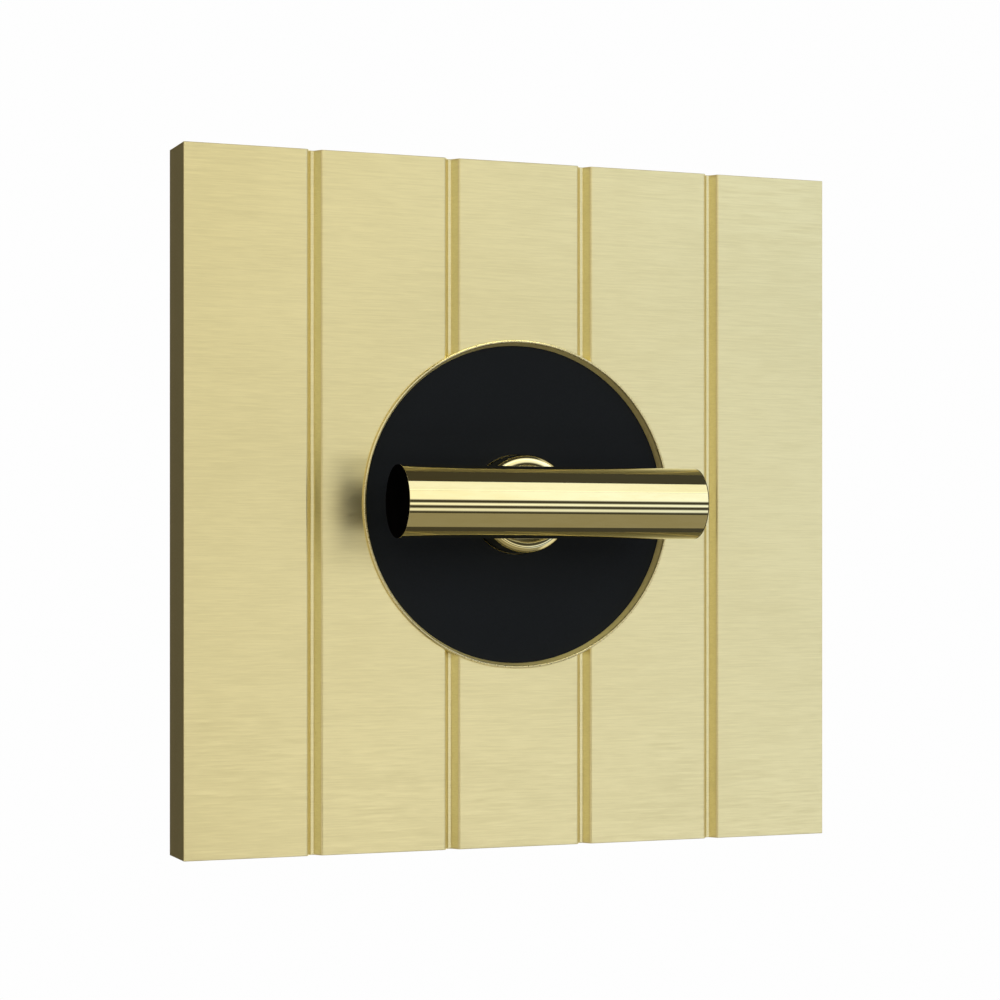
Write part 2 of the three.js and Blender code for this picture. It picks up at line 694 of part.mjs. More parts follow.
function addContacts() {
  const turn = { upper: [-QUARTER, 0, 0], lower: [QUARTER, 0, 0], common: [0, 0, -QUARTER] };
  for (const [name, terminal] of Object.entries(TERMINALS)) {
    add(`${name}_contact`, fixedContact(name), MATERIALS.copper);
    add(`${name}_terminal`, terminalBlock(name), MATERIALS.terminalBrass);
    const place = terminalCentre(terminal);
    const along = terminal.screwAxis === 'x' ? 0 : 2;
    place[along] += terminal.sign * (BLOCK.size / 2 + GAP);
    add(`${name}_terminal_screw`, screw(SCREWS.terminal), MATERIALS.steel, place, turn[name]);
  }
  add('contact_slide', contactSlide(), MATERIALS.nylon);
  add('contact_spring', contactSpring(), MATERIALS.springSteel);
  add('moving_contact', movingContact(), MATERIALS.copper);
  add('contact_tip_left', contactTip(-1), MATERIALS.silver);
  add('contact_tip_right', contactTip(1), MATERIALS.silver);
  add('upper_return_spring', returnSpring(), MATERIALS.springSteel, [0, DRIVE.y, springStart]);
  add('lower_return_spring', returnSpring(), MATERIALS.springSteel, [0, DRIVE.y, -springEnd]);
}

addFront();
addFrame();
addLever();
addHousing();
addContacts();

export default wallSwitch;
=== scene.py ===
"""The looks of the grooved brass toggle switch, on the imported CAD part. Metres, +Z up, front faces -Y."""

import json
import math

import bmesh
import bpy
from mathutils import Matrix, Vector


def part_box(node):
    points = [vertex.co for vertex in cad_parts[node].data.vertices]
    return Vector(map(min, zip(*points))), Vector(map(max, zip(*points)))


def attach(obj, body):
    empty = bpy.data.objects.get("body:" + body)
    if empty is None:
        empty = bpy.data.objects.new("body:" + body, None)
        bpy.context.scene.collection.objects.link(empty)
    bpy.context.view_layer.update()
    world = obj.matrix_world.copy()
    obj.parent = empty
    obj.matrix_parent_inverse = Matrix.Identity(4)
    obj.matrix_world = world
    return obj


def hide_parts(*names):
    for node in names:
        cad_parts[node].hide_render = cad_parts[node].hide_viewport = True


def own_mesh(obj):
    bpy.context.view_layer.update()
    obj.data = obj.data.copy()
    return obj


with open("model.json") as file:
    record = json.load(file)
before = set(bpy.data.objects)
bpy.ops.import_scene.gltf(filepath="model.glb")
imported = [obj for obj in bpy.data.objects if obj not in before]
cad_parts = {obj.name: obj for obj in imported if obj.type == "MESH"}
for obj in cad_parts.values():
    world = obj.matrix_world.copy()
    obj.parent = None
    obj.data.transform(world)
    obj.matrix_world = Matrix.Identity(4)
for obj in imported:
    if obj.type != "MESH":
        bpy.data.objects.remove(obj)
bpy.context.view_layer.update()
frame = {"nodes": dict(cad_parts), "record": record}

MM = 0.001

# ---------------------------------------------------------------- what the CAD says

PLATE_LOW, PLATE_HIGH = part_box("face_plate")
CUP_LOW, CUP_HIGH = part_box("rosette_cup")
INSERT_LOW, INSERT_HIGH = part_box("black_insert")
COLLAR_LOW, COLLAR_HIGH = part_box("collar_nut")
BAR_LOW, BAR_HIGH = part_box("t_bar")

# ---------------------------------------------------------------- detail sizes

GROOVE_PITCH = 17.82 * MM
GROOVE_COUNT = 4
GROOVE_MOUTH = 1.8 * MM
GROOVE_FLOOR = 0.44 * MM
GROOVE_DEPTH = 1.05 * MM
GROOVE_SHOULDER = 0.35 * MM
GROOVE_ROOT = 0.12 * MM
PLATE_EDGE = 0.07 * MM
PLATE_RIM = 3 * MM
POCKET_DEPTH = 3.8 * MM
POCKET_CORNER = 2 * MM
HOLE_OVERLAP = 0.2 * MM

RIM_FRONT = CUP_LOW.y
RIM_ROUND = 0.16 * MM
RIM_LIP = 0.12 * MM
RIM_SLOPE = 0.36 * MM
RIM_EDGE = 0.1 * MM
CUP_FLOOR_GAP = 0.1 * MM
CUP_FLANGE = 2 * MM
CUP_FLANGE_DEPTH = 1.5 * MM
BUSH_RADIUS = 5.3 * MM

FACE_GAP = 0.02 * MM
FACE_EDGE = 0.05 * MM
FACE_HOLE_GAP = 0.1 * MM

COLLAR_MOUTH = 4.7 * MM
COLLAR_MOUTH_EDGE = 0.12 * MM
COLLAR_ROUND = 0.9 * MM
COLLAR_LIP = 1 * MM

BAR_WALL = 0.06 * MM
BAR_BORE_DEPTH = 3.2 * MM
STEM_SOCKET_RADIUS = 2.2 * MM
STEM_SOCKET_FLOOR = 1.7 * MM
END_CAP = 0.08 * MM
END_CAP_GAP = 0.005 * MM
PLUG_GAP = 0.01 * MM
PLUG_LENGTH = 3 * MM

FIXING_HEAD = 1.8 * MM
FIXING_HEAD_CHAMFER = 0.4 * MM
FIXING_TIP_CHAMFER = 0.2 * MM
# Shares of the head's radius and of its height.
SLOT_REACH = 0.62
SLOT_DEPTH = 0.6
SLOT_HALF_WIDTH = 0.35 * MM
THREAD_ROOT = 1.42 * MM
THREAD_CREST = 1.75 * MM
THREAD_PITCH = 0.6 * MM

CLEAR = 0.01 * MM
COVER_GAP = 0.3 * MM - CLEAR
COVER_CHAMFER = 0.35 * MM
FLAT_WITHIN = 0.01 * MM

SPRING_WIRE = 0.3 * MM
SPRING_TURNS = 5

# Edges that bend more than this are drawn sharp.
SHARP_EDGE = math.radians(32)
# Corners of a carved mesh that are closer than this are joined, in metres.
WELD = 1e-6
# The hairlines' UV map: how far each metre reaches, and how much of Y is mixed in with X and with Z.
UV_SCALE = 10
UV_LEAN = 0.3

# The camera that meets the photograph's viewing angle, and the shift that its framing needs.
CAMERA_TURN = math.radians(21.5)
CAMERA_DISTANCE = 315.4 * MM
CAMERA_HEIGHT = -7.3 * MM
CAMERA_LENS = 90.4
CAMERA_SENSOR = 36
CAMERA_SHIFT = (-0.019, 0.0625)

# ---------------------------------------------------------------- mesh helpers


def fillet(points, steps=6):
    """A closed outline with rounded corners. Each point is (u, v) or (u, v, radius)."""
    out = []
    count = len(points)
    for i, point in enumerate(points):
        here = Vector(point[:2])
        radius = point[2] if len(point) > 2 else 0
        before = Vector(points[i - 1][:2]) - here
        after = Vector(points[(i + 1) % count][:2]) - here
        if radius <= 0 or before.length < 1e-9 or after.length < 1e-9:
            out.append(tuple(here))
            continue
        before.normalize()
        after.normalize()
        angle = before.angle(after)
        if angle > math.pi - 0.01:
            out.append(tuple(here))
            continue
        reach = radius / math.tan(angle / 2)
        centre = here + (before + after).normalized() * (radius / math.sin(angle / 2))
        first = here + before * reach - centre
        last = here + after * reach - centre
        sweep = first.angle(last)
        for step in range(steps + 1):
            share = step / steps
            a = math.sin((1 - share) * sweep) / math.sin(sweep)
            b = math.sin(share * sweep) / math.sin(sweep)
            out.append(tuple(centre + first * a + last * b))
    return out


def revolve(profile, segments, axis="y", centre=(0, 0, 0)):
    """A closed solid turned about a line along X or Y. The profile is a closed outline of (radius, place)."""
    mesh = bmesh.new()
    rings = []
    for k in range(segments):
        turn = 2 * math.pi * k / segments
        c, s = math.cos(turn), math.sin(turn)
        ring = []
        for radius, place in profile:
            if axis == "y":
                spot = (radius * c, place, radius * s)
            else:
                spot = (place, radius * c, radius * s)
            ring.append(mesh.verts.new(Vector(spot) + Vector(centre)))
        rings.append(ring)
    count = len(profile)
    for k in range(segments):
        a, b = rings[k], rings[(k + 1) % segments]
        for i in range(count):
            j = (i + 1) % count
            mesh.faces.new((a[i], a[j], b[j], b[i]))
    bmesh.ops.remove_doubles(mesh, verts=mesh.verts, dist=1e-7)
    bmesh.ops.dissolve_degenerate(mesh, edges=mesh.edges, dist=1e-8)
    return mesh


def stack(rings):
    """A closed solid through equal rings of points. Its ends are strips between a ring's two halves."""
    mesh = bmesh.new()
    made = [[mesh.verts.new(point) for point in ring] for ring in rings]
    count = len(made[0])
    for a, b in zip(made, made[1:]):
        for i in range(count):
            j = (i + 1) % count
            mesh.faces.new((a[i], a[j], b[j], b[i]))
    for end in (made[0], made[-1]):
        for i in range(count // 2 - 1):
            mesh.faces.new((end[i], end[i + 1], end[count - 2 - i], end[count - 1 - i]))
    return mesh


def square_on(face):
    """Whether a face looks straight along one of the axes."""
    return max(abs(part) for part in face.normal) > 0.99999


def piece(name, mesh, material, body, nodes=(), crisp=False):
    """Turns a mesh into a shaded piece that rides on a CAD body and stands for CAD nodes.

    A crisp piece keeps its axis-aligned faces perfectly flat in shading, up to their borders."""
    bmesh.ops.recalc_face_normals(mesh, faces=mesh.faces)
    for face in mesh.faces:
        face.smooth = True
    for edge in mesh.edges:
        if len(edge.link_faces) != 2:
            continue
        border = crisp and len({square_on(face) for face in edge.link_faces}) == 2
        if border or edge.calc_face_angle(0) > SHARP_EDGE:
            edge.smooth = False
    across = mesh.loops.layers.uv.new("across_the_hairlines")
    for face in mesh.faces:
        for corner in face.loops:
            spot = corner.vert.co
            lean = spot.y * UV_LEAN
            corner[across].uv = ((spot.z + lean) * UV_SCALE, (spot.x + lean) * UV_SCALE)
    data = bpy.data.meshes.new(name)
    mesh.to_mesh(data)
    mesh.free()
    made = bpy.data.objects.new(name, data)
    bpy.context.scene.collection.objects.link(made)
    weigh = made.modifiers.new("normals", "WEIGHTED_NORMAL")
    weigh.keep_sharp = True
    data.materials.append(material)
    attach(made, body)
    if nodes:
        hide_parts(*nodes)
    return made


def carve(mesh, cutters):
    """The mesh with each cutter's space taken out of it."""
    data = bpy.data.meshes.new("carved")
    bmesh.ops.recalc_face_normals(mesh, faces=mesh.faces)
    mesh.to_mesh(data)
    mesh.free()
    base = bpy.data.objects.new("carved", data)
    bpy.context.scene.collection.objects.link(base)
    tools = []
    for cutter in cutters:
        bmesh.ops.recalc_face_normals(cutter, faces=cutter.faces)
        tool_data = bpy.data.meshes.new("cutter")
        cutter.to_mesh(tool_data)
        cutter.free()
        tool = bpy.data.objects.new("cutter", tool_data)
        bpy.context.scene.collection.objects.link(tool)
        taken = base.modifiers.new("cut", "BOOLEAN")
        taken.operation = "DIFFERENCE"
        taken.solver = "EXACT"
        taken.object = tool
        tools.append(tool)
    bpy.context.view_layer.update()
    depsgraph = bpy.context.evaluated_depsgraph_get()
    result = bmesh.new()
    result.from_object(base, depsgraph)
    bmesh.ops.remove_doubles(result, verts=result.verts, dist=WELD)
    bmesh.ops.dissolve_degenerate(result, edges=result.edges, dist=WELD)
    for spent in [base, *tools]:
        bpy.data.objects.remove(spent)
    return result


# ---------------------------------------------------------------- node helpers


def link(tree, value, socket):
    """Joins a node's output to a socket, or sets the socket's own value."""
    if isinstance(value, bpy.types.NodeSocket):
        tree.links.new(value, socket)
    else:
        socket.default_value = value


def maths(tree, operation, a, b=0.0):
    node = tree.nodes.new("ShaderNodeMath")
    node.operation = operation
    link(tree, a, node.inputs[0])
    link(tree, b, node.inputs[1])
    return node.outputs[0]


def spread(tree, value, low, high, out_low=0.0, out_high=1.0):
    """A smooth step from out_low to out_high as the value goes from low to high."""
    node = tree.nodes.new("ShaderNodeMapRange")
    node.interpolation_type = "SMOOTHSTEP"
    link(tree, value, node.inputs["Value"])
    node.inputs["From Min"].default_value = low
    node.inputs["From Max"].default_value = high
    node.inputs["To Min"].default_value = out_low
    node.inputs["To Max"].default_value = out_high
    return node.outputs["Result"]


def blend(tree, share, a, b):
    """The colour a, or b where the share is 1."""
    node = tree.nodes.new("ShaderNodeMix")
    node.data_type = "RGBA"
    link(tree, share, node.inputs["Factor"])
    link(tree, a, node.inputs[6])
    link(tree, b, node.inputs[7])
    return node.outputs[2]


def noise(tree, scale, detail=3.0, roughness=0.6):
    """Noise on the row frame's coordinates, with a scale for each axis in features per metre."""
    place = tree.nodes.new("ShaderNodeTexCoord")
    stretch = tree.nodes.new("ShaderNodeMapping")
    stretch.inputs["Scale"].default_value = scale
    tree.links.new(place.outputs["Object"], stretch.inputs["Vector"])
    node = tree.nodes.new("ShaderNodeTexNoise")
    node.inputs["Scale"].default_value = 1.0
    node.inputs["Detail"].default_value = detail
    node.inputs["Roughness"].default_value = roughness
    tree.links.new(stretch.outputs["Vector"], node.inputs["Vector"])
    return node.outputs["Fac"]


def material(name):
    made = bpy.data.materials.new(name)
    made.use_nodes = True
    tree = made.node_tree
    shader = tree.nodes["Principled BSDF"]
    return made, tree, shader


def bump(tree, shader, height, strength, distance):
    node = tree.nodes.new("ShaderNodeBump")
    node.inputs["Strength"].default_value = strength
    node.inputs["Distance"].default_value = distance
    tree.links.new(height, node.inputs["Height"])
    tree.links.new(node.outputs["Normal"], shader.inputs["Normal"])


def finish_material(name, tint, shade, rough, metallic, grain, patch, relief, specular=0.5):
    """A surface with fine grain, broad patches in colour and roughness, and a little relief."""
    made, tree, shader = material(name)
    fine = noise(tree, grain)
    broad = noise(tree, patch, 2.0)
    mixed = maths(tree, "ADD", maths(tree, "MULTIPLY", fine, 0.45), maths(tree, "MULTIPLY", broad, 0.55))
    share = spread(tree, mixed, 0.35, 0.65)
    tree.links.new(blend(tree, share, (*shade, 1), (*tint, 1)), shader.inputs["Base Color"])
    tree.links.new(spread(tree, mixed, 0.3, 0.7, *rough), shader.inputs["Roughness"])
    shader.inputs["Metallic"].default_value = metallic
    shader.inputs["Specular IOR Level"].default_value = specular
    bump(tree, shader, fine, relief[0], relief[1])
    return made


# ---------------------------------------------------------------- materials


def brushed_brass():
    """Satin brass with fine hairlines along X."""
    made, tree, shader = material("brushed_brass")
    hairs = noise(tree, (340, 2500, 6800), 2.0, 0.6)
    strokes = noise(tree, (70, 900, 3600), 3.0, 0.6)
    patches = noise(tree, (30, 60, 55), 2.0, 0.5)
    fine = maths(tree, "ADD", maths(tree, "MULTIPLY", hairs, 0.65), maths(tree, "MULTIPLY", strokes, 0.35))
    mixed = maths(tree, "ADD", maths(tree, "MULTIPLY", fine, 0.7), maths(tree, "MULTIPLY", patches, 0.3))
    share = spread(tree, mixed, 0.3, 0.7)
    colour = blend(tree, share, (0.805, 0.72, 0.41, 1), (0.9, 0.812, 0.478, 1))
    tree.links.new(colour, shader.inputs["Base Color"])
    tree.links.new(spread(tree, fine, 0.3, 0.7, 0.36, 0.28), shader.inputs["Roughness"])
    shader.inputs["Metallic"].default_value = 1.0
    shader.inputs["Anisotropic"].default_value = 0.6
    across = tree.nodes.new("ShaderNodeTangent")
    across.direction_type = "UV_MAP"
    across.uv_map = "across_the_hairlines"
    tree.links.new(across.outputs["Tangent"], shader.inputs["Tangent"])
    bump(tree, shader, fine, 0.12, 0.00002)
    return made


def rim_brass():
    """Turned brass, smooth on the lip and duller down the wall inside it. The wall also takes a lighter tint
    of the brass: painted light that brightens the band down the wall.
    """
    made, tree, shader = material("rim_brass")
    place = tree.nodes.new("ShaderNodeTexCoord")
    split = tree.nodes.new("ShaderNodeSeparateXYZ")
    tree.links.new(place.outputs["Object"], split.inputs[0])
    depth = spread(tree, split.outputs["Y"], RIM_FRONT + 0.1 * MM, RIM_FRONT + 0.3 * MM)
    turned = noise(tree, (2600, 2600, 2600), 2.0, 0.6)
    lip = blend(tree, turned, (0.8, 0.7, 0.4, 1), (0.9, 0.81, 0.5, 1))
    # Painted light: the wall's brass is tinted lighter than the lip's, to brighten the band down the inside
    # of the rim.
    wall = blend(tree, turned, (0.86, 0.76, 0.42, 1), (0.96, 0.87, 0.5, 1))
    tree.links.new(blend(tree, depth, lip, wall), shader.inputs["Base Color"])
    dull = spread(tree, depth, 0.0, 1.0, 0.24, 0.62)
    rough = maths(tree, "ADD", dull, maths(tree, "MULTIPLY", turned, 0.08))
    tree.links.new(rough, shader.inputs["Roughness"])
    shader.inputs["Metallic"].default_value = 1.0
    bump(tree, shader, turned, 0.04, 0.00001)
    return made


def polished_brass():
    return finish_material(
        "polished_brass", (0.93, 0.84, 0.5), (0.88, 0.78, 0.43), (0.025, 0.045), 1.0,
        (300, 1500, 1500), (60, 160, 160), (0.02, 0.00001),
    )


def matte_black():
    return finish_material(
        "matte_black", (0.0134, 0.0168, 0.024), (0.0108, 0.0138, 0.0198), (0.5, 0.62), 0.0,
        (4500, 4500, 4500), (60, 60, 60), (0.12, 0.00003), 0.1,
    )


def gloss_black():
    return finish_material(
        "gloss_black", (0.002, 0.0018, 0.0022), (0.001, 0.001, 0.0012), (0.5, 0.6), 0.0,
        (3000, 3000, 3000), (200, 200, 200), (0.1, 0.00002), 0.0,
    )


def zinc():
    return finish_material(
        "zinc", (0.62, 0.63, 0.64), (0.5, 0.51, 0.53), (0.36, 0.52), 1.0,
        (1800, 1800, 1800), (120, 120, 120), (0.25, 0.00005),
    )


def steel():
    return finish_material(
        "steel", (0.68, 0.69, 0.7), (0.56, 0.58, 0.6), (0.26, 0.38), 1.0,
        (600, 2600, 2600), (90, 90, 90), (0.15, 0.00003),
    )


def thermoset():
    return finish_material(
        "thermoset", (0.035, 0.033, 0.031), (0.022, 0.021, 0.02), (0.42, 0.58), 0.0,
        (2600, 2600, 2600), (140, 140, 140), (0.3, 0.00006),
    )


def nylon():
    return finish_material(
        "nylon", (0.78, 0.76, 0.69), (0.7, 0.68, 0.6), (0.4, 0.52), 0.0,
        (1800, 1800, 1800), (200, 200, 200), (0.15, 0.00004),
    )


def terminal_brass():
    return finish_material(
        "terminal_brass", (0.72, 0.55, 0.24), (0.58, 0.42, 0.17), (0.28, 0.42), 1.0,
        (900, 2400, 2400), (200, 200, 200), (0.2, 0.00004),
    )


def copper():
    return finish_material(
        "copper", (0.72, 0.4, 0.26), (0.55, 0.28, 0.17), (0.28, 0.42), 1.0,
        (900, 2400, 2400), (200, 200, 200), (0.15, 0.00003),
    )


def silver():
    return finish_material(
        "silver", (0.86, 0.86, 0.84), (0.74, 0.74, 0.72), (0.16, 0.28), 1.0,
        (3000, 3000, 3000), (400, 400, 400), (0.1, 0.00002),
    )


def spring_steel():
    return finish_material(
        "spring_steel", (0.5, 0.51, 0.53), (0.38, 0.39, 0.42), (0.22, 0.34), 1.0,
        (2000, 2000, 2000), (200, 200, 200), (0.12, 0.00002),
    )


MATERIALS = {
    maker.__name__: maker()
    for maker in (
        brushed_brass, rim_brass, polished_brass, matte_black, gloss_black, zinc, steel,
        thermoset, nylon, terminal_brass, copper, silver, spring_steel,
    )
}


def dress_cad_nodes():
    """Gives every carried-over CAD node the finish of its slot in the record."""
    slots = {part["node"]: part["material_slot"] for part in frame["record"]["subparts"]}
    for name, node in frame["nodes"].items():
        finish = MATERIALS[slots[name]]
        if not node.material_slots:
            node.data.materials.append(finish)
        for entry in node.material_slots:
            entry.material = finish


# ---------------------------------------------------------------- the front pieces


def groove_profile(centre, front):
    """The corners of one groove across the plate, from left to right."""
    mouth, floor = GROOVE_MOUTH / 2, GROOVE_FLOOR / 2
    return [
        (centre - mouth, front, GROOVE_SHOULDER),
        (centre - floor, front + GROOVE_DEPTH, GROOVE_ROOT),
        (centre + floor, front + GROOVE_DEPTH, GROOVE_ROOT),
        (centre + mouth, front, GROOVE_SHOULDER),
    ]


def inset(outline, amount):
    """The outline moved inwards along its normals."""
    moved = []
    count = len(outline)
    for i, point in enumerate(outline):
        before = Vector(point) - Vector(outline[i - 1])
        after = Vector(outline[(i + 1) % count]) - Vector(point)
        normals = [Vector((-edge.y, edge.x)).normalized() for edge in (before, after)]
        middle = (normals[0] + normals[1]).normalized()
        reach = amount / max(0.35, middle.dot(normals[0]))
        moved.append(tuple(Vector(point) + middle * reach))
    return moved


def face_plate():
    """The grooved plate, hollow behind, with a hole that the cup lines."""
    low, high = PLATE_LOW, PLATE_HIGH
    corners = [(low.x, high.y), (low.x, low.y, PLATE_EDGE)]
    for index in range(GROOVE_COUNT):
        corners += groove_profile((index - (GROOVE_COUNT - 1) / 2) * GROOVE_PITCH, low.y)
    corners += [(high.x, low.y, PLATE_EDGE), (high.x, high.y)]
    outline = fillet(corners, 8)

    def level(pull, z):
        front = inset(outline, pull)[1:-1]
        back = [(x, high.y - pull) for x, _ in reversed(front)]
        return [(x, y, z) for x, y in front + back]

    steps = 3
    turns = [math.pi / 2 * step / steps for step in range(steps + 1)]
    ends = [(PLATE_EDGE * (1 - math.sin(turn)), PLATE_EDGE * (1 - math.cos(turn))) for turn in turns]
    rings = [level(pull, low.z + lift) for pull, lift in ends]
    rings += [level(pull, high.z - lift) for pull, lift in reversed(ends)]
    rear = high.y
    pocket = high.y - POCKET_DEPTH
    inner = high.x - PLATE_RIM
    spots = ((-inner, inner), (-inner, -inner), (inner, -inner), (inner, inner))
    square = fillet([(x, z, POCKET_CORNER) for x, z in spots])
    pocket_tool = stack([[(x, y, z) for x, z in square] for y in (pocket, rear + MM)])
    hole = CUP_HIGH.x - HOLE_OVERLAP
    hole_tool = revolve([(0, low.y - MM), (hole, low.y - MM), (hole, rear), (0, rear)], 192)
    solid = carve(stack(rings), [pocket_tool, hole_tool])
    return piece(
        "grooved_plate", solid, MATERIALS["brushed_brass"], "switch_base",
        ["face_plate"], crisp=True,
    )


def rose_rim():
    """The cup that lines the hole, with a small rounded lip and a wall that slopes in to the black face."""
    outer = CUP_HIGH.x
    front, rear = RIM_FRONT, CUP_HIGH.y
    seat = INSERT_LOW.y
    inside = outer - RIM_ROUND - RIM_LIP - RIM_SLOPE
    floor = INSERT_HIGH.y + CUP_FLOOR_GAP
    profile = fillet([
        (BUSH_RADIUS, floor),
        (inside, floor),
        (inside, seat),
        (outer - RIM_ROUND - RIM_LIP, front, RIM_EDGE),
        (outer, front, RIM_ROUND),
        (outer, rear - CUP_FLANGE_DEPTH),
        (outer - CUP_FLANGE, rear - CUP_FLANGE_DEPTH),
        (outer - CUP_FLANGE, rear),
        (BUSH_RADIUS, rear),
    ], 8)
    return piece(
        "rose_rim", revolve(profile, 192), MATERIALS["rim_brass"], "switch_base",
        ["rosette_cup"],
    )


def rose_face():
    """The black disc inside the cup, round the collar."""
    outer = CUP_HIGH.x - RIM_ROUND - RIM_LIP - RIM_SLOPE - FACE_GAP
    inner = COLLAR_HIGH.x + FACE_HOLE_GAP
    profile = fillet([
        (inner, INSERT_LOW.y, FACE_EDGE),
        (outer, INSERT_LOW.y, FACE_EDGE),
        (outer, INSERT_HIGH.y),
        (inner, INSERT_HIGH.y),
    ], 4)
    return piece(
        "rose_face", revolve(profile, 192), MATERIALS["matte_black"], "switch_base",
        ["black_insert"],
    )


def collar():
    """The polished nut on the bush, with a well-rounded front edge."""
    outer = COLLAR_HIGH.x
    front, rear = COLLAR_LOW.y, COLLAR_HIGH.y
    profile = fillet([
        (COLLAR_MOUTH, front, COLLAR_MOUTH_EDGE),
        (outer, front, COLLAR_ROUND),
        (outer, rear),
        (BUSH_RADIUS, rear),
        (BUSH_RADIUS, rear - COLLAR_LIP),
        (COLLAR_MOUTH, rear - COLLAR_LIP),
    ], 8)
    return piece(
        "collar", revolve(profile, 128), MATERIALS["polished_brass"], "switch_base",
        ["collar_nut"],
    )


def bar_tube():
    """The bar: polished and solid, but for a thin-walled bore at each end and the socket for its stem."""
    radius = BAR_HIGH.z
    middle = (BAR_LOW.y + BAR_HIGH.y) / 2
    left, right = BAR_LOW.x + END_CAP, BAR_HIGH.x - END_CAP
    bore = radius - BAR_WALL
    edge = BAR_WALL / 2
    profile = fillet([
        (0, left + BAR_BORE_DEPTH),
        (bore, left + BAR_BORE_DEPTH),
        (bore, left),
        (radius, left, edge),
        (radius, right, edge),
        (bore, right),
        (bore, right - BAR_BORE_DEPTH),
        (0, right - BAR_BORE_DEPTH),
    ], 4)
    tube = revolve(profile, 160, "x", (0, middle, 0))
    floor, outside = middle + STEM_SOCKET_FLOOR, middle + 2 * radius
    corners = [(0, floor), (STEM_SOCKET_RADIUS, floor), (STEM_SOCKET_RADIUS, outside), (0, outside)]
    solid = carve(tube, [revolve(corners, 48)])
    return piece("bar_tube", solid, MATERIALS["polished_brass"], "lever", ["t_bar"])


def bar_ends():
    """The black ends: a thin cap over the tube's end with a plug behind it."""
    rim = BAR_HIGH.z - END_CAP_GAP
    radius = BAR_HIGH.z - BAR_WALL - PLUG_GAP
    middle = (BAR_LOW.y + BAR_HIGH.y) / 2
    for name, node, sign in (("bar_end_left", "end_plug_left", -1), ("bar_end_right", "end_plug_right", 1)):
        face = sign * BAR_HIGH.x
        step = sign * (BAR_HIGH.x - END_CAP + END_CAP_GAP)
        back = sign * (BAR_HIGH.x - PLUG_LENGTH)
        profile = [(0, face), (rim, face), (rim, step), (radius, step), (radius, back), (0, back)]
        solid = revolve(profile, 96, "x", (0, middle, 0))
        piece(name, solid, MATERIALS["gloss_black"], "lever", [node])


# ---------------------------------------------------------------- the rear pieces


def block(low, high):
    """A closed box between two corners."""
    corners = [(low[0], low[2]), (high[0], low[2]), (high[0], high[2]), (low[0], high[2])]
    return stack([[(x, y, z) for x, z in corners] for y in (low[1], high[1])])


def fixing_screw(side):
    """A machine screw along Y: a cross-slotted head in front of a shank with thread ridges."""
    node = f"fixing_screw_{side}"
    low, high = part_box(node)
    middle = (low + high) / 2
    head = (high.x - low.x) / 2
    bearing = low.y + FIXING_HEAD
    chamfer = FIXING_HEAD_CHAMFER
    profile = [(0, low.y), (head - chamfer, low.y), (head, low.y + chamfer), (head, bearing)]
    profile.append((THREAD_ROOT, bearing))
    place = bearing + THREAD_PITCH / 2
    while place < high.y - THREAD_PITCH:
        profile.append((THREAD_CREST, place))
        profile.append((THREAD_ROOT, place + THREAD_PITCH / 2))
        place += THREAD_PITCH
    tip = FIXING_TIP_CHAMFER
    profile += [(THREAD_ROOT, high.y - tip), (THREAD_ROOT - tip, high.y), (0, high.y)]
    reach, width = head * SLOT_REACH, SLOT_HALF_WIDTH
    floor = low.y + FIXING_HEAD * SLOT_DEPTH
    slots = [
        block((middle.x - x, low.y - MM, middle.z - z), (middle.x + x, floor, middle.z + z))
        for x, z in ((reach, width), (width, reach))
    ]
    solid = carve(revolve(profile, 32, "y", (middle.x, 0, middle.z)), slots)
    piece(f"threaded_screw_{side}", solid, MATERIALS["steel"], "switch_base", [node])


def cover():
    """The housing's cover. Its broad faces come up to the pieces they bear on, with a chamfer all round."""
    node = frame["nodes"]["housing_cover"]
    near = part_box("housing_cover")[0].y
    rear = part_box("housing_body")[0].y - CLEAR
    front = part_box("bush_plate")[1].y + CLEAR
    mesh = bmesh.new()
    mesh.from_mesh(node.data)
    mesh.transform(node.matrix_world)
    bmesh.ops.remove_doubles(mesh, verts=mesh.verts, dist=WELD)
    for place, target in ((near, front), (rear - COVER_GAP, rear)):
        flat = [f for f in mesh.faces if all(abs(v.co.y - place) < FLAT_WITHIN for v in f.verts)]
        bmesh.ops.inset_region(
            mesh, faces=flat, thickness=COVER_CHAMFER, use_even_offset=True, use_boundary=True
        )
        for corner in {corner for face in flat for corner in face.verts}:
            corner.co.y = target
    piece("closed_cover", mesh, MATERIALS["thermoset"], "switch_base", ["housing_cover"])


def return_spring(side):
    """A coil spring along Z, on the upper or the lower side."""
    node = f"{side}_return_spring"
    low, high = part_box(node)
    middle = (low + high) / 2
    coil = (high.x - low.x) / 2 - SPRING_WIRE
    length = high.z - low.z
    steps, sides = 32 * SPRING_TURNS, 12
    rings = []
    for step in range(steps + 1):
        share = step / steps
        turn = 2 * math.pi * SPRING_TURNS * share
        lift = low.z + SPRING_WIRE + (length - 2 * SPRING_WIRE) * share
        ring = []
        for k in range(sides):
            bend = 2 * math.pi * k / sides
            reach = coil + SPRING_WIRE * math.cos(bend)
            z = lift + SPRING_WIRE * math.sin(bend)
            ring.append((middle.x + reach * math.cos(turn), middle.y + reach * math.sin(turn), z))
        rings.append(ring)
    solid = stack(rings)
    made = piece(f"{side}_spring", solid, MATERIALS["spring_steel"], "switch_base", [node])
    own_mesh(made)


# ---------------------------------------------------------------- the stage, the light and the camera


# The floor's and the background's one tone, how far the floor lies below the plate and how far it reaches.
PALE = (0.99, 0.99, 0.99, 1)
FLOOR_DROP = 0.12
FLOOR_REACH = 6.0


